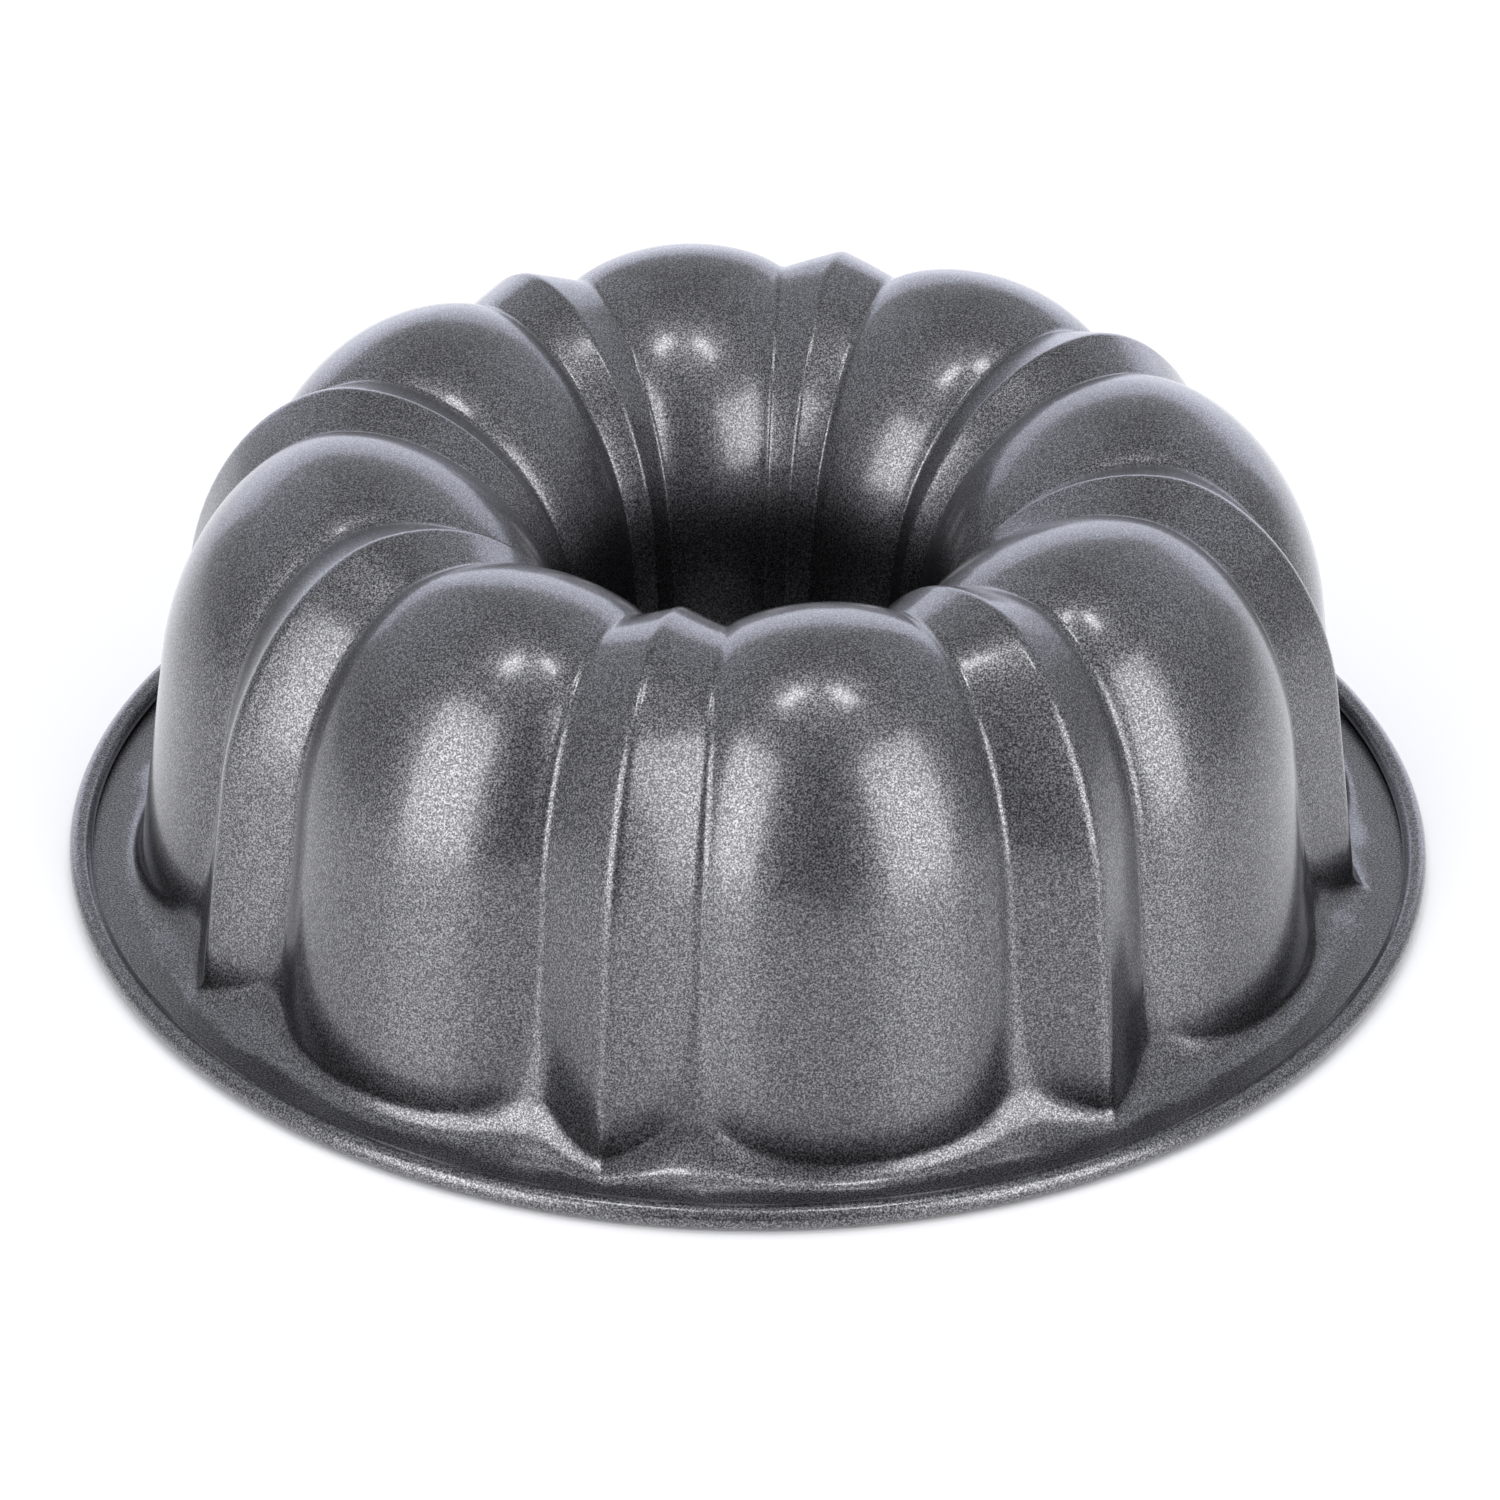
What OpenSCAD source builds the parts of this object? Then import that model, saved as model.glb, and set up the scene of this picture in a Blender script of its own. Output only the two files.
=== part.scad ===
// Fluted ring cake pan, pressed from one sheet of coated steel. It lies upside down, resting on its rim.
// Frame: millimetres, +Z up to the crown, origin in the middle of the plane that the rim rests on.

/* [Rim] */
// Outside diameter of the curled rim, the widest size of the pan
rim_d = 270; // [262:1:290]
// Outside diameter of the rolled bead
curl_d = 4.6; // [4:0.1:5.4]
// How far the sheet rolls round in the bead, in degrees
curl_sweep = 290; // [240:5:300]

/* [Sheet] */
// Thickness of the steel
steel_t = 0.6; // [0.4:0.05:0.8]
// Thickness of each release coating
coat_t = 0.05; // [0.03:0.01:0.1]

/* [Ring body] */
// Overall height, from the rest plane to the top of the crown
height = 88; // [80:1:95]
// Diameter of the circle that the top of the crown follows
crown_d = 156; // [150:1:160]
// Diameter across the lobes where the crown runs into the outer wall
wall_d = 215.2; // [210:0.2:220]
// Fall from the top of the crown to the outer wall
wall_drop = 42; // [36:1:46]
// Draft of the outer wall, in degrees from upright
wall_draft = 9; // [7:0.5:10]
// Diameter across the lobes where the crown runs into the centre tube, before its draft
tube_d = 74; // [70:1:78]
// Fall from the top of the crown to the tube
tube_drop = 46; // [42:1:50]
// Draft of the tube, in degrees from upright
tube_draft = 3; // [2:0.5:6]
// Height of the open end of the tube above the rest plane
tube_end_z = 6; // [4:0.5:10]
// Radius of the inward turn at the end of the tube
lip_r = 3; // [2:0.5:4]
// Diameter of the round hole pierced in the end of the tube
hole_d = 28; // [20:1:29]

/* [Flutes] */
// Number of large lobes, and of the narrow ridges between them
flutes = 8; // [8:1:8]
// Turn of the first ridge from the front, in degrees
first_ridge = -12; // [-45:1:45]
// Depth of the creases on the outer wall
depth_wall = 6.9; // [5:0.1:8]
// Depth of the creases on the crown
depth_crown = 4.8; // [3:0.1:6]
// Depth of the creases at the top of the tube
depth_tube = 2.5; // [1:0.1:3]
// Half width of a ridge on the outer wall, in degrees
ridge_wall = 7.6; // [6:0.1:9]
// Half width of a ridge on the crown, in degrees
ridge_crown = 8.2; // [6:0.1:9]
// Half width of a ridge in the tube, in degrees
ridge_tube = 7.3; // [6:0.1:9]
// Fall of the ridge crest below the lobes on the wall, as a share of the depth
crest_wall = -0.08; // [-0.1:0.01:0.4]
// Fall of the ridge crest below the lobes on the crown, as a share of the depth
crest_crown = 0.23; // [0:0.01:0.4]
// Fall of the ridge crest below the lobes in the tube, as a share of the depth
crest_tube = 0.3; // [0:0.01:0.4]
// How much of a full curve each lobe is, where 1 would meet the crease square on
lobe_arc = 0.89; // [0.7:0.01:0.95]
// Power of the lobe's curve, where 2 is an ellipse
lobe_power = 1.9; // [1.6:0.05:2.4]

/* [Foot of the wall] */
// Radius of the sweep from a lobe into the flange
foot_r = 5; // [4:0.5:7]
// Extra radius of that sweep at the bottom of a crease
foot_flare = 8; // [0:0.5:9]

/* [Hidden] */

sheet_t = steel_t + 2 * coat_t;
crown_r = crown_d / 2;
wall_r = wall_d / 2;
tube_r = tube_d / 2;
wall_slope = tan(wall_draft);
tube_slope = tan(tube_draft);
curl_r = curl_d / 2;
curl_centre_r = rim_d / 2 - curl_r;
wire_r = curl_r - sheet_t;
// The roll starts under the wire, at 270 degrees in its section, and ends here
curl_end = curl_sweep - 90;
// The fluted sheet ends on this radius, in the flat of the flange, and the turned rim goes on from there
join_r = curl_centre_r - 4.7;
join_lap = 3;
// and on this radius in the flat end of the tube, where the pierced washer goes on
hole_join_r = hole_d / 2 + 1.5;

// Columns of the sheet in one pitch, and intervals along it from the flange to the end of the tube
ridge_steps = 2;
lobe_steps = 8;
foot_steps = 4;
wall_steps = 1;
crown_steps = 5;
tube_steps = 2;
lip_steps = 2;
pitch = 360 / flutes;
curve_fn = 96;
step = 0.01;

// Places along the sheet: 0 wall, 1 top of the crown, 2 tube
function along(k, wall, crown, tube) =
    k < 1 ? wall + (crown - wall) * k : crown + (tube - crown) * (k - 1);

// Fall of the sheet below the lobe's crest line as a share of the depth: 0 on the crest, 1 in a crease
function lobe_fall(x) =
    (1 - pow(1 - pow(lobe_arc * x, lobe_power), 1 / lobe_power))
    / (1 - pow(1 - pow(lobe_arc, lobe_power), 1 / lobe_power));
function fall(t, half, crest) =
    abs(t) < half ? crest + (1 - crest) * abs(t) / half : lobe_fall((pitch / 2 - abs(t)) / (pitch / 2 - half));

// Angle of column c from the middle of its ridge, with columns on the crest and on both creases
columns = ridge_steps + lobe_steps;
function column_angle(c, half) =
    c <= ridge_steps
    ? half * (2 * c / ridge_steps - 1)
    : half + (pitch - 2 * half) * (c - ridge_steps) / lobe_steps;
function from_ridge(t) = t > pitch / 2 ? t - pitch : t;

// Section of the lobes' crest line at place k: [radius, height, outward normal r, outward normal z]
function unit(r, z) = [r, z] / norm([r, z]);
function wall_quarter(a) = concat(
    [crown_r + (wall_r - crown_r) * sin(a) + wall_slope * wall_drop * (1 - cos(a)),
     height - wall_drop * (1 - cos(a))],
    unit(wall_drop * sin(a), (wall_r - crown_r) * cos(a) + wall_slope * wall_drop * sin(a)));
function tube_quarter(a) = concat(
    [crown_r - (crown_r - tube_r) * sin(a) - tube_slope * tube_drop * (1 - cos(a)),
     height - tube_drop * (1 - cos(a))],
    unit(-tube_drop * sin(a), (crown_r - tube_r) * cos(a) + tube_slope * tube_drop * sin(a)));
function crest_line(k) = k < 1 ? wall_quarter(90 * (1 - k)) : tube_quarter(90 * (k - 1));

// Outer face of the sheet at column c and place k on the crown: [angle, radius, height]
function crown_point(c, k) =
    let (half = along(k, ridge_wall, ridge_crown, ridge_tube))
    let (t = column_angle(c, half))
    let (deep = along(k, depth_wall, depth_crown, depth_tube)
        * fall(from_ridge(t), half, along(k, crest_wall, crest_crown, crest_tube)))
    let (p = crest_line(k))
    [t, p[0] - p[2] * deep, p[1] - p[3] * deep];

// The sweep at the foot of the wall, from the flange (share 0) to the wall (share 1)
function foot_point(c, share) =
    let (top = crown_point(c, 0))
    let (deep = fall(from_ridge(top[0]), ridge_wall, crest_wall))
    let (r = foot_r + foot_flare * max(deep, 0))
    let (touch_z = sheet_t + r - r * sin(wall_draft))
    let (centre = top[1] + wall_slope * (top[2] - touch_z) + r * cos(wall_draft))
    let (a = 270 - (90 - wall_draft) * share)
    [top[0], centre + r * cos(a), sheet_t + r + r * sin(a)];
function wall_point(c, share) =
    let (low = foot_point(c, 1))
    low + (crown_point(c, 0) - low) * share;

// The tube runs straight down from the crown while its flutes die away, then turns in round its open end
tube_top = tube_quarter(90);
lip_z = tube_end_z + sheet_t + lip_r;
lip_start_z = lip_z - lip_r * sin(tube_draft);
lip_start_r = tube_top[0] - tube_slope * (tube_top[1] - lip_start_z);
function tube_point(c, share) =
    let (top = crown_point(c, 2))
    [top[0],
     top[1] + (lip_start_r - top[1]) * share,
     top[2] + (lip_start_z - top[2]) * share];
function lip_point(c, share) =
    let (a = -tube_draft - (90 - tube_draft) * share)
    [crown_point(c, 2)[0],
     lip_start_r + lip_r * (cos(a) - cos(tube_draft)),
     lip_z + lip_r * sin(a)];

rows = foot_steps + wall_steps + 2 * crown_steps + tube_steps + lip_steps + 2;
foot_end = 1 + foot_steps;
wall_end = foot_end + wall_steps;
crown_end = wall_end + 2 * crown_steps;
tube_end = crown_end + tube_steps;
lip_end = tube_end + lip_steps;
// Outer face at column c and row s along the sheet, where s may be between rows
function sheet_point(c, s) =
    s <= 1 ? [crown_point(c, 0)[0], join_r + (foot_point(c, 0)[1] - join_r) * s, sheet_t]
    : s <= foot_end ? foot_point(c, (s - 1) / foot_steps)
    : s <= wall_end ? wall_point(c, (s - foot_end) / wall_steps)
    : s <= crown_end ? crown_point(c, (s - wall_end) / crown_steps)
    : s <= tube_end ? tube_point(c, (s - crown_end) / tube_steps)
    : s <= lip_end ? lip_point(c, (s - tube_end) / lip_steps)
    : let (edge = lip_point(c, 1)) [edge[0], edge[1] + (hole_join_r - edge[1]) * (s - lip_end), edge[2]];
function place(p) = [p[1] * sin(p[0]), -p[1] * cos(p[0]), p[2]];
function face_point(c, s) = place(sheet_point(c, s));

// Direction square to the sheet, which is straight up where it ends flat
function across(c, s) =
    s == 0 || s == rows ? [0, 0, 1]
    : let (ahead = face_point(c, s + step) - face_point(c, s - step))
      let (side = face_point(c + step, s) - face_point(c - step, s))
      let (n = cross(side, ahead))
      n / norm(n);

// One pitch of the face that lies so deep in the sheet, then the whole turn
function pitch_face(deep) = [for (s = [0 : rows]) [for (c = [0 : columns - 1])
    face_point(c, s) - deep * across(c, s)]];
function turned(p, a) = [p[0] * cos(a) - p[1] * sin(a), p[0] * sin(a) + p[1] * cos(a), p[2]];
function whole_face(deep) =
    let (one = pitch_face(deep))
    [for (s = [0 : rows]) for (i = [0 : flutes - 1]) for (p = one[s]) turned(p, first_ridge + i * pitch)];

// Outline that the fluted sheet ends on, in the flange (s = 0) and in the end of the tube (s = rows)
function end_outline(s) = [for (i = [0 : flutes - 1]) for (c = [0 : columns - 1])
    let (p = turned(face_point(c, s), first_ridge + i * pitch)) [p[0], p[1]]];

// Closed fluted layer between two depths in the sheet, from the flange to the end of the tube
module fluted_layer(from, to) {
    n = columns * flutes;
    under = n * (rows + 1);
    function at(c, s) = s * n + c % n;
    outer = [for (s = [0 : rows - 1]) for (c = [0 : n - 1])
        each [[at(c, s), at(c + 1, s + 1), at(c + 1, s)], [at(c, s), at(c, s + 1), at(c + 1, s + 1)]]];
    inner = [for (f = outer) [under + f[0], under + f[2], under + f[1]]];
    ends = [for (c = [0 : n - 1])
        each [
            [at(c, 0), under + at(c + 1, 0), under + at(c, 0)],
            [at(c, 0), at(c + 1, 0), under + at(c + 1, 0)],
            [at(c, rows), under + at(c + 1, rows), at(c + 1, rows)],
            [at(c, rows), under + at(c, rows), under + at(c + 1, rows)]
        ]];
    polyhedron(points = concat(whole_face(from), whole_face(to)), faces = concat(outer, inner, ends));
}

// Section of the turned rim between two depths: flat flange, then the bead rolled up and in over its wire
module rim_section(from, to) {
    translate([join_r - join_lap, sheet_t - to]) square([curl_centre_r - join_r + join_lap, to - from]);
    translate([curl_centre_r, curl_r]) difference() {
        circle(r = wire_r + to, $fn = curve_fn);
        circle(r = wire_r + from, $fn = curve_fn);
        polygon([[0, 0], for (a = [270, (270 + curl_end) / 2, curl_end]) curl_d * [cos(a), sin(a)]]);
    }
}
module turned_rim(from, to) {
    difference() {
        rotate_extrude($fn = 2 * curve_fn) rim_section(from, to);
        translate([0, 0, -curl_r]) linear_extrude(height = 2 * curl_d)
            polygon(end_outline(0));
    }
}

// Flat end of the tube between two depths, with its pierced hole
module pierced_end(from, to) {
    translate([0, 0, tube_end_z + sheet_t - to]) linear_extrude(height = to - from) difference() {
        polygon(end_outline(rows));
        circle(d = hole_d, $fn = curve_fn);
    }
}

module pressed_layer(from, to) {
    fluted_layer(from, to);
    turned_rim(from, to);
    pierced_end(from, to);
}

// Deep-drawn steel sheet: flange, fluted wall, crown and tube in one, with the edge rolled over the wire
module steel_shell() {
    color("silver") pressed_layer(coat_t, coat_t + steel_t);
}

// Steel wire that the bead is rolled round
module rim_wire() {
    color("gray") translate([0, 0, curl_r]) rotate_extrude($fn = 2 * curve_fn)
        translate([curl_centre_r, 0]) circle(r = wire_r, $fn = curve_fn);
}

// Release coating on the side that the cake touches, which the roll turns to the outside of the bead
module food_side_coating() {
    color("dimgray") pressed_layer(coat_t + steel_t, sheet_t);
}

// Coating on the outside of the pan, which the roll turns to the inside of the bead
module outer_coating() {
    color("dimgray") pressed_layer(0, coat_t);
}

steel_shell();
rim_wire();
food_side_coating();
outer_coating();
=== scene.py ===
import math
import bpy
import numpy as np
from mathutils import Euler, Matrix, Vector


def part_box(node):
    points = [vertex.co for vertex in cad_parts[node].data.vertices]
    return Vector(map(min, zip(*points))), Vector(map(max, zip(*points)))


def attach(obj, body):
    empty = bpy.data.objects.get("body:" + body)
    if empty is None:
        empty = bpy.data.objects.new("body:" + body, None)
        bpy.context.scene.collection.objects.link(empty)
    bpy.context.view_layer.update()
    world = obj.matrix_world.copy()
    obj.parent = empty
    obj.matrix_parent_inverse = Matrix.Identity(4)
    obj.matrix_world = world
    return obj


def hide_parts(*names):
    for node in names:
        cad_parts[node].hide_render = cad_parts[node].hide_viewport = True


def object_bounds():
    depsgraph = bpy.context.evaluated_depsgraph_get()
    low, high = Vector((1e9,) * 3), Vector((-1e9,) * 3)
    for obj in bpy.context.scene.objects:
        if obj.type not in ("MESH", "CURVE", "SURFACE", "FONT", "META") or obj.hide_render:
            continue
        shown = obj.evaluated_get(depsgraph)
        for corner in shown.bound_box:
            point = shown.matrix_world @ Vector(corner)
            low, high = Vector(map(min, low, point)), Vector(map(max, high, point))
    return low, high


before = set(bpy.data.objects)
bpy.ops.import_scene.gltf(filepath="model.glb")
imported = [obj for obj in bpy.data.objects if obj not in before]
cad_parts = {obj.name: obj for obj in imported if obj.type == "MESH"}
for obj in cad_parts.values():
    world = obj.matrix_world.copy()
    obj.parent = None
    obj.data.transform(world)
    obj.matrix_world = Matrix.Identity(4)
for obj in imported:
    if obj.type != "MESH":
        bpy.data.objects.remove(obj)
cad_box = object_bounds()

# Studio. The pan lies upside down on a pale table between two tall softboxes, one on each side of
# the camera, with a dark flag between them. A roll and two sheets of white paper stand behind, and two
# small lamps hang overhead.
camera_distance = 0.838
camera_rise = math.radians(31.78)
camera_roll = math.radians(0.61)
camera_target = Vector((0.0002, 0, 0.0157))
sensor_mm = 36
lens_mm = 101
nearest_seen = 0.01
bpy.ops.object.select_all(action="DESELECT")
camera_offset = Vector((0, -math.cos(camera_rise), math.sin(camera_rise))) * camera_distance
camera_turn = Euler((math.pi / 2 - camera_rise, 0, 0)).to_matrix() @ Matrix.Rotation(camera_roll, 3, "Z")
bpy.ops.object.camera_add(location=camera_target + camera_offset, rotation=camera_turn.to_euler())
camera = bpy.context.object
camera.name = "camera"
camera.data.sensor_width = sensor_mm
camera.data.lens = lens_mm
camera.data.clip_start = nearest_seen
bpy.context.scene.camera = camera
bpy.context.scene.view_settings.view_transform = "Standard"

table_size = 8
bpy.ops.mesh.primitive_plane_add(size=table_size, location=(0, 0, cad_box[0][2]))
table = bpy.context.object
table.name = "table_top"
paper = bpy.data.materials.new("white_paper")
paper.use_nodes = True
shader = paper.node_tree.nodes["Principled BSDF"]
shader.inputs["Base Color"].default_value = (0.88, 0.88, 0.89, 1)
shader.inputs["Roughness"].default_value = 0.7
shader.inputs["Coat Weight"].default_value = 1
shader.inputs["Coat Roughness"].default_value = 0.35
table.data.materials.append(paper)


def toward(turn, rise):
    """Direction from the pan, in degrees. turn is 0 on the camera's side and grows to the right."""
    turn, rise = math.radians(turn), math.radians(rise)
    return Vector((math.sin(turn) * math.cos(rise), -math.cos(turn) * math.cos(rise), math.sin(rise)))


def softbox(name, turn, rise, distance, width, height, radiance, tint=(1, 1, 1)):
    """A flat lamp that faces the pan and is out of the camera's sight, as bright as its radiance says."""
    away = toward(turn, rise)
    bpy.ops.object.light_add(type="AREA", location=away * distance)
    lamp = bpy.context.object
    lamp.name = name
    lamp.data.shape = "RECTANGLE"
    lamp.data.size = width
    lamp.data.size_y = height
    lamp.data.energy = radiance * 4 * width * height
    lamp.data.color = tint
    lamp.rotation_euler = (-away).to_track_quat("-Z", "Y").to_euler()
    lamp.visible_camera = False
    return lamp


cool_white = (0.82, 0.85, 1)
cooler_white = (0.78, 0.82, 1)
softbox("softbox_left", turn=-43, rise=24, distance=1.5, width=0.85, height=1.35, radiance=2.6)
softbox("softbox_right", turn=45, rise=24, distance=1.5, width=0.85, height=1.35, radiance=2.4)
softbox("paper_roll", 180, 13, distance=1.8, width=3.8, height=0.9, radiance=0.82, tint=cooler_white)
softbox("side_paper_left", -122, 42, distance=1.8, width=1.7, height=1.3, radiance=0.2, tint=cool_white)
softbox("side_paper_right", 122, 42, distance=1.8, width=1.7, height=1.3, radiance=0.2, tint=cool_white)
softbox("overhead_left", turn=-46, rise=76, distance=1.5, width=0.17, height=0.34, radiance=8)
softbox("overhead_right", turn=46, rise=76, distance=1.5, width=0.17, height=0.34, radiance=8)
table_fill = softbox("table_fill", turn=0, rise=89, distance=2.2, width=3, height=3, radiance=0.5)
table_fill.visible_glossy = False
world = bpy.data.worlds.new("studio_air")
bpy.context.scene.world = world
world.use_nodes = True
sky = world.node_tree.nodes["Background"]
sky.inputs["Color"].default_value = (0.95, 0.96, 1, 1)
sky.inputs["Strength"].default_value = 0.57

flag_side = toward(1, 25)
flag_distance = 1.35
flag_width = 0.95
flag_height = 1.15
bpy.ops.mesh.primitive_plane_add(size=1, location=flag_side * flag_distance)
flag = bpy.context.object
flag.name = "dark_flag"
flag.scale = (flag_width, flag_height, 1)
flag.rotation_euler = (-flag_side).to_track_quat("-Z", "Y").to_euler()
flag.visible_camera = False
dark_cloth = bpy.data.materials.new("dark_cloth")
dark_cloth.use_nodes = True
shader = dark_cloth.node_tree.nodes["Principled BSDF"]
shader.inputs["Base Color"].default_value = (0.25, 0.25, 0.25, 1)
shader.inputs["Roughness"].default_value = 1
flag.data.materials.append(dark_cloth)

# Steel shell. One disc of cold-rolled steel is drawn down over a fluted punch, so flange, wall, crown
# and centre tube are a single sheet. Its edge is then rolled up and in, and its tube end pierced.
rim_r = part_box("food_side_coating")[1][0]
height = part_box("outer_coating")[1][2]
steel_t = 0.0006
coat_t = 0.00005
sheet_t = steel_t + 2 * coat_t
curl_r = 0.0023
wire_r = curl_r - sheet_t
curl_centre_r = rim_r - curl_r
curl_end = math.radians(210)
crown_r = 0.078
wall_r = 0.1076
wall_drop = 0.042
wall_draft = math.radians(9)
tube_r = 0.037
tube_drop = 0.046
tube_draft = math.radians(3)
tube_end_z = 0.006
lip_r = 0.003
hole_r = 0.014
# Radius of the sweep at the foot of a lobe, what a crease adds to it, and how that grows with depth
foot_r = 0.0045
foot_flare = 0.0095
flare_power = 1.5
flutes = 8
pitch = 360 / flutes
first_ridge = -12
# Depth of the creases, half width of a ridge in degrees, and fall of its crest as a share of the
# depth, each on the wall, on top of the crown and at the top of the tube
crease_depth = (0.0069, 0.0048, 0.0025)
ridge_half = (7.6, 8.2, 7.3)
crest_fall = (-0.08, 0.23, 0.3)
lobe_arc = 0.89
lobe_power = 1.9
# Half width in degrees over which the bends are rounded, what the creases add at the foot of the wall
# and again at the flange, and how fast that fades up the wall
bend_round = 0.6
foot_round = 2.2
flange_round = 1.4
round_fade = 3
bend_samples = 13
bend_margin = 1.6
sharpest_smooth = math.radians(50)
weld_distance = 0.000002
# Columns in half a pitch, from the ridge: to the end of its crest's bend, to the start and end of the
# crease's bend, and to the middle of the lobe
bend_columns = (0, 3, 8, 14, 28)
half_columns = bend_columns[-1]
pitch_columns = 2 * half_columns
columns = pitch_columns * flutes
# Rows along each part of the sheet, from the curl to the pierced end
curl_rows, flange_rows, foot_rows, wall_rows, crown_rows, tube_rows, lip_rows = 26, 4, 13, 9, 41, 9, 8


def along(place, values):
    """A value between those on the wall at 0, on top of the crown at 1 and in the tube at 2."""
    return float(np.interp(place, (0, 1, 2), values))


def sharp_fall(t, half, crest):
    """Fall below the lobes' crest line as a share of the depth, t degrees from the nearest ridge."""
    t = np.abs((t + pitch / 2) % pitch - pitch / 2)
    x = np.clip((pitch / 2 - t) / (pitch / 2 - half), 0, 1)
    lobe = 1 - (1 - (lobe_arc * x) ** lobe_power) ** (1 / lobe_power)
    lobe /= 1 - (1 - lobe_arc ** lobe_power) ** (1 / lobe_power)
    return np.where(t < half, crest + (1 - crest) * t / half, lobe)


def fall(t, half, crest, softer=0.0):
    """The same with its bends rounded, as sheet bends. softer rounds the creases more, not the crests."""
    near_crease = np.clip(np.abs((t + pitch / 2) % pitch - pitch / 2) / half, 0, 1)
    spread = bend_round + softer * near_crease
    shifts = np.linspace(-1, 1, bend_samples)
    return np.mean([sharp_fall(t + s * spread, half, crest) for s in shifts], axis=0)


def column_angles(half):
    """Angle of each column in a pitch, from its ridge, with the columns close together at the bends."""
    bend = bend_margin * bend_round
    stops = (0, bend, half - bend, half + bend, pitch / 2)
    out = np.interp(range(half_columns + 1), bend_columns, stops)
    return np.concatenate([out, pitch - out[half_columns - 1:0:-1]])


def crest_line(place):
    """Radius and height of the lobes' crest line, and its outward direction in section."""
    side = 1 if place < 1 else -1
    if place < 1:
        reach, drop, slope = wall_r - crown_r, wall_drop, math.tan(wall_draft)
    else:
        reach, drop, slope = tube_r - crown_r, tube_drop, -math.tan(tube_draft)
    a = abs(1 - place) * math.pi / 2
    r = crown_r + reach * math.sin(a) + slope * drop * (1 - math.cos(a))
    z = height - drop * (1 - math.cos(a))
    out = np.array((side * drop * math.sin(a), side * (reach * math.cos(a) + slope * drop * math.sin(a))))
    return r, z, out / np.linalg.norm(out)


def crown_row(place, softer=0.0):
    """Angle, radius and height of each column of a pitch, across the flutes at one place."""
    half = along(place, ridge_half)
    t = column_angles(half)
    deep = along(place, crease_depth) * fall(t, half, along(place, crest_fall), softer)
    r, z, out = crest_line(place)
    return t, r - out[0] * deep, z - out[1] * deep


def foot_row(share):
    """Sweep at the foot of the wall, from the flange at 0 to the wall at 1, wider in the creases."""
    t, top_r, top_z = crown_row(0, foot_round + flange_round * (1 - share))
    deep = np.clip(fall(t, ridge_half[0], crest_fall[0], foot_round), 0, 1)
    r = foot_r + foot_flare * deep ** flare_power
    touch_z = sheet_t + r - r * math.sin(wall_draft)
    centre = top_r + math.tan(wall_draft) * (top_z - touch_z) + r * math.cos(wall_draft)
    a = 1.5 * math.pi - (math.pi / 2 - wall_draft) * share
    return t, centre + r * math.cos(a), sheet_t + r + r * math.sin(a)


def wall_row(share):
    """Straight wall between the sweep at 0 and the crown at 1, its creases rounder near the foot."""
    t, top_r, top_z = crown_row(0, foot_round * (1 - share) ** round_fade)
    z = foot_row(1)[2] + (top_z - foot_row(1)[2]) * share
    return t, top_r + math.tan(wall_draft) * (top_z - z), z


def between(low, high, share):
    """A row of the flat flange or the straight tube, between the rows at its ends."""
    return tuple(a + (b - a) * share for a, b in zip(low, high))


def sheet_rows():
    """Rows of the sheet's outside face, from the edge of the curl to the pierced hole."""
    t = column_angles(ridge_half[0])
    rows = []
    for a in np.linspace(curl_end, -math.pi / 2, curl_rows):
        r = curl_centre_r + wire_r * math.cos(a)
        rows.append((t, r + 0 * t, curl_r + wire_r * math.sin(a) + 0 * t))
    flange_start, foot_start = rows[-1], foot_row(0)
    rows += [between(flange_start, foot_start, s) for s in np.linspace(0, 1, flange_rows)[1:-1]]
    rows += [foot_row(s) for s in np.linspace(0, 1, foot_rows)]
    rows += [wall_row(s) for s in np.linspace(0, 1, wall_rows)[1:-1]]
    rows += [crown_row(place) for place in np.linspace(0, 2, crown_rows)]
    tube_start = rows[-1]
    t = tube_start[0]
    lip_z = tube_end_z + sheet_t + lip_r
    tube_end = lip_z - lip_r * math.sin(tube_draft)
    lip_start_r = crest_line(2)[0] - math.tan(tube_draft) * (crest_line(2)[1] - tube_end)
    rows += [between(tube_start, (t, lip_start_r, tube_end), s) for s in np.linspace(0, 1, tube_rows)[1:]]
    for a in np.linspace(-tube_draft, -math.pi / 2, lip_rows)[1:]:
        r = lip_start_r + lip_r * (math.cos(a) - math.cos(tube_draft))
        rows.append((t, r + 0 * t, lip_z + lip_r * math.sin(a) + 0 * t))
    rows.append((t, hole_r + 0 * t, tube_end_z + sheet_t + 0 * t))
    return rows


def sheet_face():
    """Points of the outside face, and the direction square to the sheet at each."""
    face = []
    for t, r, z in sheet_rows():
        turn = np.radians(np.concatenate([first_ridge + i * pitch + t for i in range(flutes)]))
        r, z = np.tile(r, flutes), np.tile(z, flutes)
        face.append(np.stack([r * np.sin(turn), -r * np.cos(turn), z], axis=-1))
    face = np.array(face)
    around = np.roll(face, -1, axis=1) - np.roll(face, 1, axis=1)
    square = np.cross(around, np.gradient(face, axis=0))
    square /= np.linalg.norm(square, axis=-1, keepdims=True)
    if square[len(face) // 2, 0, 2] < 0:
        square = -square
    return face, square


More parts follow.
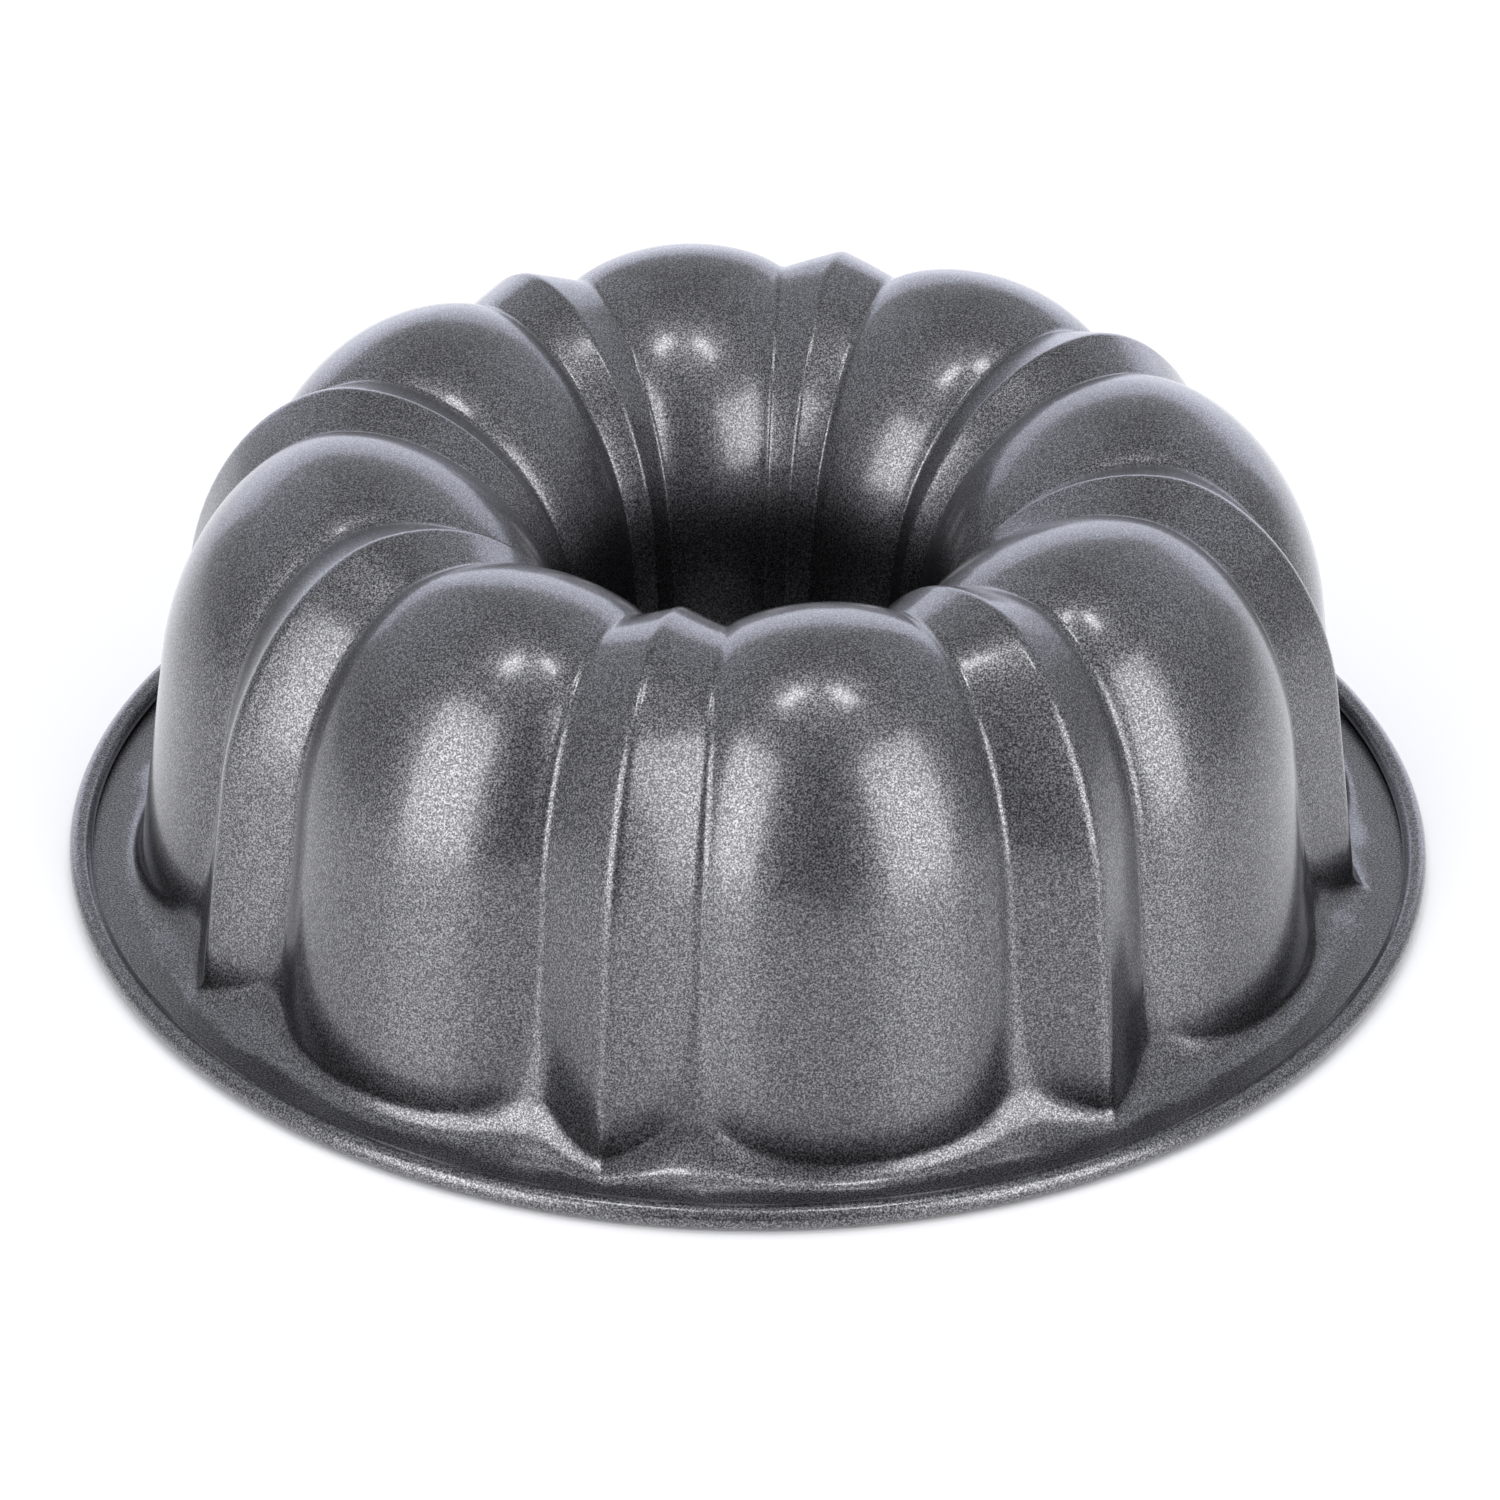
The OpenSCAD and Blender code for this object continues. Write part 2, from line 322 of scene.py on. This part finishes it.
def press_layer(name, top, bottom):
    """A closed layer of the sheet between two depths: its section is spun, then pressed into flutes."""
    face, square = sheet_face()
    loop = np.concatenate([face - square * top, (face - square * bottom)[::-1]])
    section = [(math.hypot(p[0], p[1]), 0, p[2]) for p in loop[:, 0]]
    bpy.ops.object.select_all(action="DESELECT")
    bpy.ops.mesh.primitive_circle_add(vertices=len(section), fill_type="NOTHING")
    piece = bpy.context.object
    piece.name = name
    piece.data.vertices.foreach_set("co", np.ravel(section))
    row = piece.data.attributes.new("row", "INT", "POINT")
    row.data.foreach_set("value", range(len(section)))
    bpy.ops.object.mode_set(mode="EDIT")
    bpy.ops.mesh.select_all(action="SELECT")
    bpy.ops.mesh.spin(steps=pitch_columns, angle=2 * math.pi / flutes, center=(0, 0, 0), axis=(0, 0, 1))
    bpy.ops.mesh.select_all(action="SELECT")
    bpy.ops.mesh.spin(
        steps=flutes - 1, dupli=True, angle=2 * math.pi * (flutes - 1) / flutes,
        center=(0, 0, 0), axis=(0, 0, 1))
    bpy.ops.mesh.select_all(action="SELECT")
    bpy.ops.mesh.remove_doubles(threshold=weld_distance)
    bpy.ops.object.mode_set(mode="OBJECT")
    count = len(piece.data.vertices)
    rows, flat = np.empty(count, int), np.empty(count * 3)
    piece.data.attributes["row"].data.foreach_get("value", rows)
    piece.data.vertices.foreach_get("co", flat)
    x, y = flat.reshape(-1, 3)[:, 0], flat.reshape(-1, 3)[:, 1]
    column = np.round(np.arctan2(y, x) / (2 * math.pi) * columns).astype(int) % columns
    piece.data.vertices.foreach_set("co", loop[rows, column].ravel())
    piece.data.attributes.remove(piece.data.attributes["row"])
    bpy.ops.object.mode_set(mode="EDIT")
    bpy.ops.mesh.select_all(action="SELECT")
    bpy.ops.mesh.normals_make_consistent(inside=False)
    bpy.ops.object.mode_set(mode="OBJECT")
    bpy.ops.object.shade_smooth_by_angle(angle=sharpest_smooth)
    return piece


steel = press_layer("pressed_steel", coat_t, coat_t + steel_t)
bare_steel = bpy.data.materials.new("bare_cut_steel")
bare_steel.use_nodes = True
nodes, links = bare_steel.node_tree.nodes, bare_steel.node_tree.links
shader = nodes["Principled BSDF"]
shader.inputs["Metallic"].default_value = 1
place = nodes.new("ShaderNodeTexCoord")
burr = nodes.new("ShaderNodeTexNoise")
burr.inputs["Scale"].default_value = 900
burr.inputs["Detail"].default_value = 3
links.new(place.outputs["Object"], burr.inputs["Vector"])
tone = nodes.new("ShaderNodeValToRGB")
tone.color_ramp.elements[0].color = (0.32, 0.32, 0.33, 1)
tone.color_ramp.elements[1].color = (0.72, 0.72, 0.73, 1)
links.new(burr.outputs["Fac"], tone.inputs["Fac"])
links.new(tone.outputs["Color"], shader.inputs["Base Color"])
grain = nodes.new("ShaderNodeMapRange")
grain.inputs["To Min"].default_value = 0.25
grain.inputs["To Max"].default_value = 0.5
links.new(burr.outputs["Fac"], grain.inputs["Value"])
links.new(grain.outputs["Result"], shader.inputs["Roughness"])
steel.data.materials.append(bare_steel)
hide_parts("steel_shell")
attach(steel, "root")

# Rim wire. A ring of drawn steel wire, butted end to end, that the edge of the sheet is rolled round.
# It stiffens the rim and shows only in the gap below the roll's edge.
butt_gap = 0.0004
wire_clearance = 0.00002
wire_sides = 20
wire_steps = 240
bpy.ops.object.select_all(action="DESELECT")
bpy.ops.mesh.primitive_circle_add(
    vertices=wire_sides, radius=wire_r - wire_clearance, fill_type="NGON",
    location=(0, curl_centre_r, curl_r), rotation=(0, math.pi / 2, 0))
wire = bpy.context.object
wire.name = "wire_ring"
bpy.ops.object.transform_apply(location=True, rotation=True)
bpy.ops.object.mode_set(mode="EDIT")
bpy.ops.mesh.select_all(action="SELECT")
bpy.ops.mesh.spin(
    steps=wire_steps, angle=2 * math.pi - butt_gap / curl_centre_r, center=(0, 0, 0), axis=(0, 0, 1))
bpy.ops.mesh.select_all(action="SELECT")
bpy.ops.mesh.normals_make_consistent(inside=False)
bpy.ops.object.mode_set(mode="OBJECT")
bpy.ops.object.shade_smooth_by_angle(angle=math.radians(40))
drawn_wire = bpy.data.materials.new("drawn_wire")
drawn_wire.use_nodes = True
nodes, links = drawn_wire.node_tree.nodes, drawn_wire.node_tree.links
shader = nodes["Principled BSDF"]
shader.inputs["Metallic"].default_value = 1
shader.inputs["Roughness"].default_value = 0.45
place = nodes.new("ShaderNodeTexCoord")
scale = nodes.new("ShaderNodeTexNoise")
scale.inputs["Scale"].default_value = 400
links.new(place.outputs["Object"], scale.inputs["Vector"])
tone = nodes.new("ShaderNodeValToRGB")
tone.color_ramp.elements[0].color = (0.05, 0.048, 0.046, 1)
tone.color_ramp.elements[1].color = (0.16, 0.155, 0.15, 1)
links.new(scale.outputs["Fac"], tone.inputs["Fac"])
links.new(tone.outputs["Color"], shader.inputs["Base Color"])
wire.data.materials.append(drawn_wire)
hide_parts("rim_wire")
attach(wire, "root")

# Outside coating. The sheet is coated before it is pressed: a dark grey film full of fine aluminium
# flake, semi-gloss. On this side it covers the flange, wall, crown and tube, and lines the roll.
outside = press_layer("outside_film", 0, coat_t)


def flake_coat(name):
    """Dark film with flakes in it: a fine grain sets the brightness and the tilt of each flake."""
    coat = bpy.data.materials.new(name)
    coat.use_nodes = True
    nodes, links = coat.node_tree.nodes, coat.node_tree.links
    shader = nodes["Principled BSDF"]
    shader.inputs["Metallic"].default_value = 1
    shader.inputs["Roughness"].default_value = 0.34
    shader.inputs["Coat Weight"].default_value = 1
    shader.inputs["Coat Roughness"].default_value = 0.14
    place = nodes.new("ShaderNodeTexCoord")
    flakes = nodes.new("ShaderNodeTexNoise")
    flakes.inputs["Scale"].default_value = 3000
    flakes.inputs["Detail"].default_value = 1
    flakes.inputs["Roughness"].default_value = 0.7
    links.new(place.outputs["Object"], flakes.inputs["Vector"])
    tone = nodes.new("ShaderNodeValToRGB")
    ramp = tone.color_ramp
    ramp.elements[0].position = 0.34
    ramp.elements[0].color = (0.018, 0.018, 0.021, 1)
    ramp.elements[1].position = 0.66
    ramp.elements[1].color = (0.3, 0.298, 0.314, 1)
    middle = ramp.elements.new(0.5)
    middle.color = (0.099, 0.098, 0.105, 1)
    links.new(flakes.outputs["Fac"], tone.inputs["Fac"])
    links.new(tone.outputs["Color"], shader.inputs["Base Color"])
    tilt = nodes.new("ShaderNodeBump")
    tilt.inputs["Strength"].default_value = 0.3
    tilt.inputs["Distance"].default_value = 0.0001
    links.new(flakes.outputs["Fac"], tilt.inputs["Height"])
    links.new(tilt.outputs["Normal"], shader.inputs["Normal"])
    return coat


outside.data.materials.append(flake_coat("outside_flake_film"))
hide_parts("outer_coating")
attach(outside, "root")

# Food-side coating. The release film that the cake touches. The roll turns it to the outside of the
# bead, so it is also what shows on the rim, and it is what the pan rests on.
food_side = press_layer("release_film", coat_t + steel_t, sheet_t)
food_side.data.materials.append(flake_coat("release_flake_film"))
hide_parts("food_side_coating")
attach(food_side, "root")
